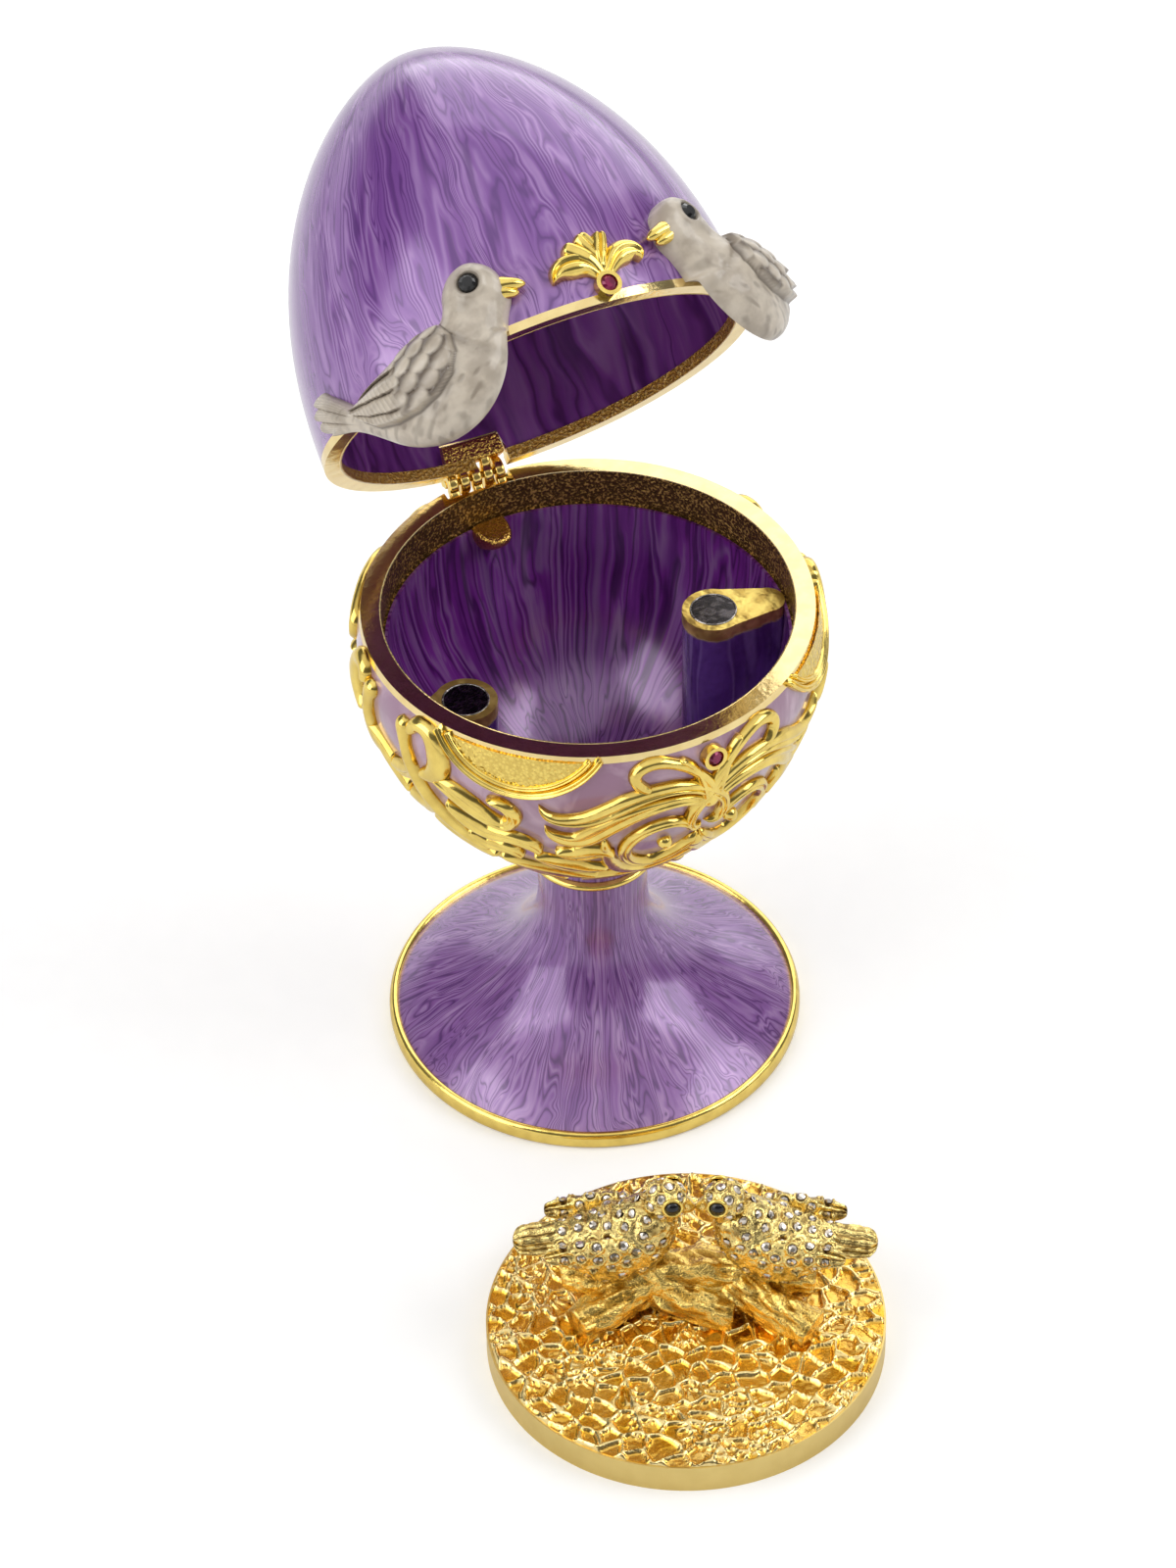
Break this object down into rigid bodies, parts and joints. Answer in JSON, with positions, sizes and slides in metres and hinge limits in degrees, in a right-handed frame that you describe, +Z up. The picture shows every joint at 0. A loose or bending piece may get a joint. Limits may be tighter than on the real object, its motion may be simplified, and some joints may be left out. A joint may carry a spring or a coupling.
{
  "type": "egg box on stand",
  "caption": "Egg-shaped enamelled trinket box on a trumpet foot, hinged lid open, with a lift-out dish that carries two kissing birds on a branch.",
  "frame": {"origin": "centre of the foot's underside, on the egg's axis, at the surface it stands on", "axes": "+Z up along the foot and cup, -Y towards the front stone, +Y towards the lid's hinge"},
  "size_m": [0.0823, 0.1448, 0.1352],
  "materials": {
    "gilt": "polished gold plate",
    "antique_gilt": "gold plate, shaded in the recesses",
    "violet_enamel": "glossy marbled pearl enamel",
    "dark_enamel": "glossy streaked enamel",
    "lilac_enamel": "pearl enamel between the scrolls",
    "dove_enamel": "satin enamel, brown in the recesses",
    "steel": "plated",
    "magnet": "dark ground face with a bright edge",
    "ruby": "cut stone",
    "crystal": "cut crystal",
    "jet": "polished black stone"
  },
  "bodies": {
    "stand": {"cup_casting": "gilt", "cup_hinge_leaf": "gilt", "cup_inner_enamel": "dark_enamel", "cup_magnet_left": "magnet", "cup_magnet_right": "magnet", "cup_outer_enamel": "lilac_enamel", "cup_ruby": "ruby", "cup_scrollwork": "gilt", "cup_stone_bezel": "gilt", "foot_base_plate": "gilt", "foot_casting": "gilt", "foot_enamel": "violet_enamel", "hinge_pin": "gilt", "hinge_side_rest": "gilt", "lunette_left": "gilt", "lunette_right": "gilt", "magnet_post_left": "gilt", "magnet_post_right": "gilt", "neck_band_enamel": "violet_enamel", "neck_collar": "gilt", "scroll_beads": "gilt", "stem_screw": "steel"},
    "lid": {"dove_beak_left": "gilt", "dove_beak_right": "gilt", "dove_eye_left": "jet", "dove_eye_right": "jet", "dove_left": "dove_enamel", "dove_right": "dove_enamel", "fleur_spray": "gilt", "lid_casting": "gilt", "lid_hinge_leaf": "gilt", "lid_inner_enamel": "dark_enamel", "lid_outer_enamel": "violet_enamel", "lid_ruby": "ruby", "lid_stone_bezel": "gilt"},
    "insert": {"catch_disc_left": "steel", "catch_disc_right": "steel", "crystals_left": "crystal", "crystals_right": "crystal", "insert_tray": "antique_gilt", "lovebird_eyes_left": "jet", "lovebird_eyes_right": "jet", "lovebird_left": "antique_gilt", "lovebird_right": "antique_gilt", "perch": "antique_gilt"}
  },
  "joints": [
    {"name": "lid_hinge", "type": "hinge", "parent": "stand", "child": "lid", "pos_m": [0, 0.0305, 0.07375], "axis": [0.9954, -0.0958, 0], "range_deg": [0, 57.6]},
    {"name": "insert_lift", "type": "slide", "parent": "stand", "child": "insert", "axis": [0, 0, 1], "range_m": [0, 0.08]}
  ]
}
